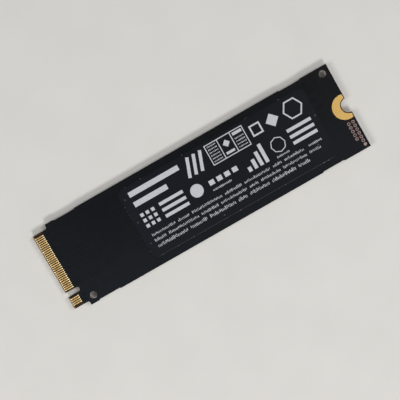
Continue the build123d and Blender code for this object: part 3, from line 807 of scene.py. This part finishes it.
def rounded_bar(name, length, width, height, rounding):
    """A bar lying on z = 0 whose flanks round over by this much."""
    profile = (
        (0.0, 0.0),
        (0.1 * rounding, 0.4 * height),
        (0.4 * rounding, 0.8 * height),
        (rounding, height),
    )
    corners = []
    for inset, level in profile:
        x = length / 2 - inset
        y = width / 2 - inset
        corners += [(-x, -y, level), (x, -y, level), (x, y, level), (-x, y, level)]
    faces = [(3, 2, 1, 0)]
    for ring in range(len(profile) - 1):
        for side in range(4):
            after = (side + 1) % 4
            lower = 4 * ring
            faces.append((lower + side, lower + after, lower + 4 + after, lower + 4 + side))
    top = 4 * (len(profile) - 1)
    faces.append((top, top + 1, top + 2, top + 3))
    return mesh_from(name, corners, faces)


finger = rounded_bar("finger_shape", finger_length, finger_width, copper, finger_rounding)
for face_name, level, turn in (("back", back_z, upright), ("front", front_z, face_down)):
    row_name = f"contact_fingers_{face_name}"
    middles = [(low + high) / 2 for low, high in solid_boxes(row_name)]
    places = [((middle.x, middle.y, level), turn, full_size) for middle in middles]
    row = copies(f"gold_fingers_{face_name}", finger, places, finger_golds[face_name])
    ride(row, "contact_gold", row_name)
bpy.data.objects.remove(finger)

# Plated test holes: a rounded ring on each face and a barrel between them
ring_radius = 0.4
hole_radius = 0.23
plating = 0.04
lip = 0.012
hole_sides = 24


def via_shape(name, filled):
    """A plated hole through the board, on z = 0 at the component face's copper."""
    top = back_z - front_z + 2 * copper
    outer = [
        (ring_radius - lip, 0.0),
        (ring_radius, lip),
        (ring_radius, copper),
        (hole_radius + plating, copper),
        (hole_radius + plating, top - copper),
        (ring_radius, top - copper),
        (ring_radius, top - lip),
        (ring_radius - lip, top),
    ]
    if filled:
        return lathe(name, outer, hole_sides)
    bore = [
        (hole_radius + lip, top),
        (hole_radius, top - lip),
        (hole_radius, lip),
        (hole_radius + lip, 0.0),
    ]
    return lathe(name, outer + bore, hole_sides, tube=True)


via_middles = [(low + high) / 2 for low, high in solid_boxes("test_vias")]
corner_via = min(via_middles, key=lambda middle: (round(-middle.x, 3), middle.y))


def via_places(filled, level):
    """The open test holes at this level, or the filled one, which is nearest the corner."""
    chosen = [middle for middle in via_middles if (middle is corner_via) == filled]
    return [((middle.x, middle.y, level), upright, full_size) for middle in chosen]


for state, filled in (("open", False), ("filled", True)):
    shape = outward(via_shape("via_shape", filled))
    holes = copies(f"test_holes_{state}", shape, via_places(filled, front_z - copper), via_metal)
    ride(holes, "via_metal", "test_vias")
    bpy.data.objects.remove(shape)

# Dark resin plugs inside the open test holes, sunk a little below the board's back. Their near black is
# painted shade for the depth of the bores.
plug_radius = hole_radius + 0.005
plug_shape = lathe("plug_shape", [(plug_radius, 0.0), (plug_radius, 0.72), (0.12, 0.66), (0.02, 0.64)], 16)
plugs = copies("test_hole_plugs", plug_shape, via_places(False, front_z), bore_shade_resin)
ride(plugs, "laminate")
bpy.data.objects.remove(plug_shape)

# Solder balls: a squashed ball in the place of each post
ball_profile = [(0.62, 0.0), (0.92, 0.22), (1.0, 0.5), (0.92, 0.78), (0.62, 1.0)]
ball_shape = lathe("ball_shape", ball_profile, 8)
for chip in ("controller", "dram", "nand_a", "nand_b"):
    node_name = f"{chip}_solder_balls"
    places = []
    for low, high in solid_boxes(node_name):
        middle = (low + high) / 2
        radius = (high.x - low.x) / 2
        places.append(((middle.x, middle.y, seat_z), upright, (radius, radius, front_z - seat_z)))
    ride(copies(f"{chip}_balls", ball_shape, places, solder), "solder", node_name)
bpy.data.objects.remove(ball_shape)

# Ink on the label: the larger marks as the part has them, and small type as rows of strokes
text_rows_below = -3.0


def dress_marks():
    """The ink's larger marks, without the bars that stand for words."""
    mesh = nodes["label_print"].data.copy()
    mesh.name = "ink_marks"
    mesh.materials.clear()
    mesh.materials.append(label_ink)
    work = bmesh.new()
    work.from_mesh(mesh)
    bmesh.ops.remove_doubles(work, verts=work.verts, dist=weld_distance)
    words = [face for face in work.faces if face.calc_center_median().y < text_rows_below * MM]
    bmesh.ops.delete(work, geom=words, context="FACES")
    work.to_mesh(mesh)
    work.free()
    return ride(link("ink_marks", mesh), "label_ink", "label_print")


dress_marks()
stroke_pitch = 0.36
stroke_outline = ((-0.5, -0.5), (0.5, -0.5), (0.5, 0.5), (-0.5, 0.5))
stroke_shape = mesh_from(
    "stroke_shape",
    [(x, y, z) for z in (0, ink_z - label_z) for x, y in stroke_outline],
    [(3, 2, 1, 0), (4, 5, 6, 7), (0, 1, 5, 4), (1, 2, 6, 5), (2, 3, 7, 6), (3, 0, 4, 7)],
)


def stroke(x, y, width, tall, turn=0.0):
    """One printed stroke or block, centred here on the label."""
    return (x, y, label_z), (0.0, 0.0, turn), (width, tall, 1.0)


def stroke_centres(left, right):
    """Even places for strokes from one end of a row to the other."""
    count = round((right - left) / stroke_pitch)
    return [left + (index + 0.5) * (right - left) / count for index in range(count)]


def word_strokes(low, high, chance):
    """Strokes of uneven height and width in place of one of the part's bars that stand for words."""
    tall = high.y - low.y
    strokes = []
    for x in stroke_centres(low.x, high.x):
        reach = tall * chance.choice((0.62, 0.62, 0.7, 0.95))
        lift = chance.choice((0.0, 0.0, 0.5)) * (tall - reach)
        width = stroke_pitch * chance.uniform(0.28, 0.56)
        strokes.append(stroke(x, low.y + lift + reach / 2, width, reach))
    return strokes


def fine_strokes(left, right, y, tall, chance):
    """A row of fine strokes, some of them shorter."""
    width = stroke_pitch * 0.5
    return [stroke(x, y, width, tall * chance.choice((0.7, 1.0))) for x in stroke_centres(left, right)]


# The printed box has three cells: fine rows, a diamond over a block, and a block over fine rows
box_left = 5.6
cell_width = 3.4
cell_lefts = [box_left + cell_width * cell for cell in range(3)]
cell_middles = [left + cell_width / 2 for left in cell_lefts]
cell_margin = 0.5
cell_text_width = 2.4
cell_row_pitch = 0.75


def cell_rows(cell, top, count):
    """Fine rows in one cell of the box, from the top one down."""
    left = cell_lefts[cell] + cell_margin
    return [(left, left + cell_text_width, top - cell_row_pitch * row, 0.35) for row in range(count)]


# Fine rows under three of the marks, each with its left and right ends, middle and height
rows_under_marks = [(2.5, 7.6, -1.75, 0.5), (19.4, 22.8, -2.5, 0.45), (27.2, 30.7, -3.75, 0.5)]
chance = random.Random(5)
strokes = []
for low, high in solid_boxes("label_print"):
    if (low.y + high.y) / 2 <= text_rows_below:
        strokes += word_strokes(low, high, chance)
for left, right, y, tall in rows_under_marks + cell_rows(0, 7.7, 6) + cell_rows(2, 6.3, 4):
    strokes += fine_strokes(left, right, y, tall, chance)
strokes.append(stroke(cell_middles[2], 7.5, cell_text_width, 0.7))
strokes.append(stroke(cell_middles[1], 4.2, 2.2, 0.6))
strokes.append(stroke(cell_middles[1], 6.4, 1.3, 1.3, turn=math.pi / 4))
ride(copies("ink_small_type", stroke_shape, strokes, label_ink), "label_ink", "label_print")
bpy.data.objects.remove(stroke_shape)

# Bumps where the film lies over something on the board, their paler film a painted highlight, and pale
# specks along its edge as painted glints
bump_profile = [(0.22, -0.01), (0.2, 0.01), (0.14, 0.03), (0.05, 0.04), (0.02, 0.041)]
bump_shape = lathe("bump_shape", bump_profile, 16)
bump_flatness = 0.45
bump_places = (
    (32.0, 1.7), (29.3, -4.6), (28.6, -5.3),
    (-16.4, -5.3), (-16.6, 0.5), (-16.6, 6.6), (2.0, -8.1),
)
bumps = [((x, y, label_z), upright, (1.0, 1.0, bump_flatness)) for x, y in bump_places]
# The bumps are paler than the film around them, a painted highlight
ride(copies("film_bumps", bump_shape, bumps, bump_highlight_film), "label_film")
bpy.data.objects.remove(bump_shape)
speck_shape = lathe("speck_shape", [(0.6, 0.0), (1.0, 0.4), (0.6, 0.9), (0.2, 1.0)], 6)
beside_label_low = label_low - 0.02
beside_label_high = label_high + 0.03
beside_label_left = label_left - 0.03
glints_along_label = 34
glints_at_label_end = 8
chance = random.Random(23)


def glint_speck(x, y, radius):
    """One pale speck on the board, up against the label, as a painted glint."""
    return (x, y, back_z), upright, (radius, radius, 0.1)


glint_specks = []
for index in range(glints_along_label):
    x = chance.uniform(label_left + 1.5, label_right - 1.5)
    # Most glints lie along the low edge, on the key light's side
    y = chance.choice((beside_label_low, beside_label_low, beside_label_low, beside_label_high))
    glint_specks.append(glint_speck(x, y, chance.choice((0.03, 0.04, 0.05, 0.08))))
for index in range(glints_at_label_end):
    y = chance.uniform(-8.0, 8.0)
    glint_specks.append(glint_speck(beside_label_left, y, chance.choice((0.03, 0.04, 0.05))))
# Pale specks along the label's edge: painted glints
ride(copies("label_edge_dust", speck_shape, glint_specks, label_ink), "label_ink")
bpy.data.objects.remove(speck_shape)

# Tracks under the mask, which stand out a little from the board
track_width = 0.14
track_rise = 0.012
track_pitch = 0.32
track_fan_out = 1.04
track_start = mask_start + 0.05
under_label = 0.1
hole_clearance = 1.2


def bent(start_x, start_y, lane_y, bend_x, end_x):
    """A track from a start, through one slanted step to its lane, to an end."""
    step = abs(lane_y - start_y)
    heading = 1 if end_x > start_x else -1
    return [(start_x, start_y), (bend_x, start_y), (bend_x + heading * step, lane_y), (end_x, lane_y)]


def at_level(path, level):
    """A flat path lifted to this level."""
    return [(x, y, level) for x, y in path]


def back_tracks_from_fingers():
    """Paired tracks from the fingers: most run under the label, and some end before it at a hole."""
    first_bend = mask_start + 0.9
    bend_stagger = 0.22
    short_end = label_left - 5.0
    end_stagger = 1.1
    tracks = []
    ends = []
    finger_ys = sorted((low.y + high.y) / 2 for low, high in solid_boxes("contact_fingers_back"))
    for index, y in enumerate(finger_ys):
        pair, side = divmod(index, 2)
        pair_middle = (finger_ys[2 * pair] + finger_pitch / 2) * track_fan_out
        lane = pair_middle + (side - 0.5) * track_pitch
        bend = first_bend + bend_stagger * (pair % 5)
        end = label_left - under_label
        meets_tooling_hole = abs(lane - tongue_hole_y) < hole_clearance
        ends_short = meets_tooling_hole or pair % 3 == 1
        if ends_short:
            end = short_end + end_stagger * (pair % 4)
        if meets_tooling_hole:
            end = tongue_hole_x - 1.3
        tracks.append(at_level(bent(track_start, y, lane, bend, end), back_z))
        if ends_short:
            ends.append((end, lane))
    return tracks, ends


def back_tracks_by_notch():
    """Short tracks that come out from under the label at its notch end, each to a hole."""
    row_start = 9.0
    row_pitch = 1.1
    row_count = 8
    first_end = label_right + 1.4
    end_stagger = 0.45
    lane_step = 0.4
    start = label_right + under_label
    bend = label_right + 0.3
    tracks = []
    ends = []
    for index in range(row_count):
        y = row_start - row_pitch * index
        end = first_end + end_stagger * (index % 3)
        lane = y + lane_step * (-1) ** index
        tracks.append(at_level(bent(start, y, lane, bend, end), back_z))
        ends.append((end, lane))
    return tracks, ends


finger_tracks, finger_track_ends = back_tracks_from_fingers()
notch_tracks, notch_track_ends = back_tracks_by_notch()
back_tracks = finger_tracks + notch_tracks
back_ends = finger_track_ends + notch_track_ends
ride(strips("tracks_back", back_tracks, track_width, 2 * track_rise, board_mask), "board_mask")

# Component side: tracks run between the chips, clear of what stands on the board
chip_nodes = [
    "controller_substrate", "dram_package", "nand_a_package", "nand_b_package",
    "power_chip_body", "load_switch_body", "boot_memory_body", "crystal_base",
    "regulator_leads", "inductor_bodies", "bulk_capacitor_terminals",
    "chip_capacitor_terminals", "chip_resistor_terminals", "input_fuse_terminals",
]
footprints = []
for node_name in chip_nodes:
    footprints += solid_boxes(node_name)

# How far the copper keeps from the card's edge, and what the ground pad and the key take up
card_edge_margin = 0.6
ground_pad_reach = 3.6
key_half_width = 0.8
key_reach = 3.8


def is_free(x, y, margin):
    """True where the component face is bare, this far from every footprint, hole and edge."""
    if abs(y) > half_width - card_edge_margin - margin:
        return False
    if x < mask_start + margin or x > notch_end - ground_pad_reach - margin:
        return False
    if math.hypot(x - tongue_hole_x, y - tongue_hole_y) < hole_clearance + margin:
        return False
    if abs(y - key_y) < key_half_width + margin and x < tongue_end + key_reach + margin:
        return False
    for low, high in footprints:
        if low.x - margin < x < high.x + margin and low.y - margin < y < high.y + margin:
            return False
    return True


def front_tracks_from_fingers():
    """Straight tracks from the fingers, each as far as the first thing in its way."""
    furthest = -29.0
    shortest = 0.4
    step = 0.1
    look_ahead = 0.15
    clearance = 0.12
    tracks = []
    for low, high in solid_boxes("contact_fingers_front"):
        y = (low.y + high.y) / 2
        reach = track_start
        while is_free(reach + look_ahead, y, clearance) and reach < furthest:
            reach += step
        if reach > track_start + shortest:
            tracks.append(at_level([(track_start, y), (reach, y)], front_z))
    return tracks


def points_along(path):
    """Nine even points on each straight stretch of a path."""
    return [
        (start[0] + (end[0] - start[0]) * part / 8, start[1] + (end[1] - start[1]) * part / 8)
        for start, end in zip(path, path[1:])
        for part in range(9)
    ]


def front_tracks_between(left_chip, right_chip):
    """Lanes from under one package to under the next, where nothing stands in their way."""
    first_lane = -7.2
    lane_count = 46
    sway = 0.35
    tucked_in = 0.3
    clearance = 0.09
    high_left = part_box(left_chip)[1] / MM
    low_right, high_right = (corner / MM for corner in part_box(right_chip))
    tracks = []
    for index in range(lane_count):
        y = first_lane + track_pitch * index
        lane = y + sway * math.sin(index * 0.9)
        path = bent(high_left.x - tucked_in, y, lane, high_left.x + 0.9, low_right.x + tucked_in)
        in_the_open = [
            point for point in points_along(path) if high_left.x + 0.1 < point[0] < low_right.x - 0.1
        ]
        meets_both = abs(y) < min(high_left.y, high_right.y)
        left_out = index % 6 == 5
        if meets_both and not left_out and all(is_free(x, y, clearance) for x, y in in_the_open):
            tracks.append(at_level(path, front_z))
    return tracks


front_tracks = front_tracks_from_fingers()
packages_in_line = ("controller_substrate", "dram_package", "nand_a_package", "nand_b_package")
for left_chip, right_chip in zip(packages_in_line, packages_in_line[1:]):
    front_tracks += front_tracks_between(left_chip, right_chip)
ride(strips("tracks_front", front_tracks, track_width, 2 * track_rise, board_mask), "board_mask")

# Tented holes: small domes of mask over filled holes, on both faces
dome_shape = lathe("dome_shape", [(0.28, -0.002), (0.25, 0.012), (0.16, 0.02), (0.05, 0.016)], 12)
domes = [((x, y, back_z), upright, full_size) for x, y in back_ends]
front_dome_count = 120
dome_clearance = 0.45
chance = random.Random(11)
while len(domes) < len(back_ends) + front_dome_count:
    x = chance.uniform(mask_start, notch_end - 4)
    y = chance.uniform(-half_width + 0.9, half_width - 0.9)
    if is_free(x, y, dome_clearance):
        domes.append(((x, y, front_z), face_down, full_size))
ride(copies("tented_holes", dome_shape, domes, board_mask), "board_mask")
bpy.data.objects.remove(dome_shape)

# Test points: small bare gold discs on the component face, in the gaps beside the packages
disc_shape = lathe("disc_shape", [(0.36, 0.0), (0.38, 0.008), (0.36, 0.02)], 20)
test_point_columns = (-25.4, -8.9, 2.15, 17.69, 33.23)
test_point_rows = (-10.0, 9.9, 8.6)
disc_clearance = 0.4
discs = [
    ((x, y, front_z), face_down, full_size)
    for x in test_point_columns
    for y in test_point_rows
    if is_free(x, y, disc_clearance)
]
ride(copies("test_points", disc_shape, discs, pad_gold), "contact_gold")
bpy.data.objects.remove(disc_shape)

# Solder fillets: a hollow wedge against the outer end of each terminal
fillet_profile = [(0.0, 0.0), (1.0, 0.0), (0.55, 0.12), (0.22, 0.4), (0.06, 0.78), (0.0, 1.0)]
fillet_length = 0.2
fillet_width_share = 0.92
fillet_height_share = 0.55


def fillet_shape(name):
    """A wedge one wide along Y, one long along X and one tall along Z, with a hollow face."""
    corners = []
    for y in (-0.5, 0.5):
        corners += [(x, y, z) for x, z in fillet_profile]
    count = len(fillet_profile)
    faces = [tuple(range(count)), tuple(reversed(range(count, 2 * count)))]
    for index in range(count):
        after = (index + 1) % count
        faces.append((index, index + count, after + count, after))
    return outward(mesh_from(name, corners, faces))


def fillet_at(low, high, body):
    """The fillet of the terminal in this box, on the side that faces away from its body's middle."""
    centre = (low + high) / 2
    outwards = centre - body
    if abs(outwards.y) > abs(outwards.x):
        width = high.x - low.x
        sign = math.copysign(1.0, outwards.y)
        place = (centre.x, high.y if sign > 0 else low.y, front_z)
        heading = sign * math.pi / 2
    else:
        width = high.y - low.y
        sign = math.copysign(1.0, outwards.x)
        place = (high.x if sign > 0 else low.x, centre.y, front_z)
        heading = 0.0 if sign > 0 else math.pi
    size = (fillet_length, fillet_width_share * width, fillet_height_share * (high.z - low.z))
    return place, (math.pi, 0.0, heading), size


wedge = fillet_shape("fillet_shape")
fillets = []
for chip in ("bulk_capacitor", "chip_capacitor", "chip_resistor", "input_fuse"):
    bodies = [(low + high) / 2 for low, high in solid_boxes(f"{chip}_bodies")]
    for low, high in solid_boxes(f"{chip}_terminals"):
        nearest_body = min(bodies, key=lambda body: (body - (low + high) / 2).length)
        fillets.append(fillet_at(low, high, nearest_body))
ride(copies("solder_fillets", wedge, fillets, solder), "solder")
bpy.data.objects.remove(wedge)

# Floor, lights and camera
floor_reach = 900
floor = mesh_from(
    "floor",
    [(x * floor_reach, y * floor_reach, 0) for x, y in ((-1, -1), (1, -1), (1, 1), (-1, 1))],
    [(0, 1, 2, 3)],
)
floor.data.materials.append(floor_stone)
floor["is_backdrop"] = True
warm_white = (1.0, 0.99, 0.975)
sky_strength = 0.12


def make_studio(name):
    """Faint light from all round. The pale backdrop is there for the eye, and for metal from the side."""
    studio = bpy.data.worlds.new(name)
    studio.use_nodes = True
    tree = studio.node_tree
    sky = tree.nodes["Background"]
    sky.inputs["Color"].default_value = (*warm_white, 1.0)
    sky.inputs["Strength"].default_value = sky_strength
    backdrop = tree.nodes.new("ShaderNodeBackground")
    backdrop.inputs["Color"].default_value = backdrop_colour
    split = tree.nodes.new("ShaderNodeSeparateXYZ")
    tree.links.new(tree.nodes.new("ShaderNodeTexCoord").outputs["Generated"], split.inputs["Vector"])
    walls = tree.nodes.new("ShaderNodeMapRange")
    walls.inputs["From Min"].default_value = 0.1
    walls.inputs["From Max"].default_value = 0.5
    walls.inputs["To Min"].default_value = 1.0
    walls.inputs["To Max"].default_value = 0.0
    tree.links.new(split.outputs["Z"], walls.inputs["Value"])
    rays = tree.nodes.new("ShaderNodeLightPath")

    def combined(operation, first, second):
        """Two values brought together by this operation."""
        node = tree.nodes.new("ShaderNodeMath")
        node.operation = operation
        tree.links.new(first, node.inputs[0])
        tree.links.new(second, node.inputs[1])
        return node.outputs["Value"]

    mirrored = combined("MAXIMUM", rays.outputs["Is Glossy Ray"], rays.outputs["Is Transmission Ray"])
    on_walls = combined("MULTIPLY", mirrored, walls.outputs["Result"])
    choice = tree.nodes.new("ShaderNodeMixShader")
    tree.links.new(combined("MAXIMUM", rays.outputs["Is Camera Ray"], on_walls), choice.inputs["Fac"])
    tree.links.new(sky.outputs["Background"], choice.inputs[1])
    tree.links.new(backdrop.outputs["Background"], choice.inputs[2])
    tree.links.new(choice.outputs["Shader"], tree.nodes["World Output"].inputs["Surface"])
    return studio


bpy.context.scene.world = make_studio("studio")
light_distance = 0.6


def softbox(name, heading, tilt, width, share):
    """A square light this many metres wide, aimed at the card, with both angles in degrees.

    The heading goes round Z from +X, and the tilt is from straight up. The share is the part of
    full white that the light gives a white surface lying at the middle."""
    around = math.radians(heading)
    away = math.radians(tilt)
    place = Vector((math.cos(around) * math.sin(away), math.sin(around) * math.sin(away), math.cos(away)))
    lamp = bpy.data.lights.new(name, "AREA")
    lamp.shape = "SQUARE"
    lamp.size = width
    lamp.energy = share * math.pi ** 2 * light_distance ** 2 / abs(math.cos(away))
    lamp.color = warm_white
    holder = bpy.data.objects.new(name, lamp)
    bpy.context.scene.collection.objects.link(holder)
    holder.location = place * light_distance
    holder.rotation_mode = "QUATERNION"
    holder.rotation_quaternion = place.to_track_quat("Z", "Y")


softbox("key_light", heading=-95.0, tilt=34.5, width=0.15, share=0.36)
softbox("left_light", heading=178.0, tilt=37.0, width=0.22, share=0.26)
softbox("right_light", heading=2.0, tilt=30.0, width=0.22, share=0.28)
softbox("under_key_light", heading=-95.0, tilt=150.0, width=0.4, share=0.5)
softbox("under_left_light", heading=178.0, tilt=140.0, width=0.4, share=0.35)
softbox("under_right_light", heading=2.0, tilt=145.0, width=0.4, share=0.35)

# The camera's own right and up directions put the card where the photograph has it
camera_data = bpy.data.cameras.new("camera")
camera_data.sensor_width = 36.0
camera_data.lens = 63.0
camera_data.clip_start = 0.01
camera_data.clip_end = 5.0
camera = bpy.data.objects.new("camera", camera_data)
bpy.context.scene.collection.objects.link(camera)
camera_right = Vector((0.86814, -0.4962, 0.01058)).normalized()
camera_back = camera_right.cross(Vector((0.49586, 0.86624, -0.06118))).normalized()
camera_up = camera_back.cross(camera_right)
camera.rotation_mode = "QUATERNION"
turned = [[camera_right[row], camera_up[row], camera_back[row]] for row in range(3)]
camera.rotation_quaternion = Matrix(turned).to_quaternion()
camera.location = (0.00223, 0.00749, 0.16696)
bpy.context.scene.camera = camera
bpy.context.scene.view_settings.view_transform = "Standard"

low_after, high_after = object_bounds()
for label, low, high in (("before", low_before, high_before), ("after", low_after, high_after)):
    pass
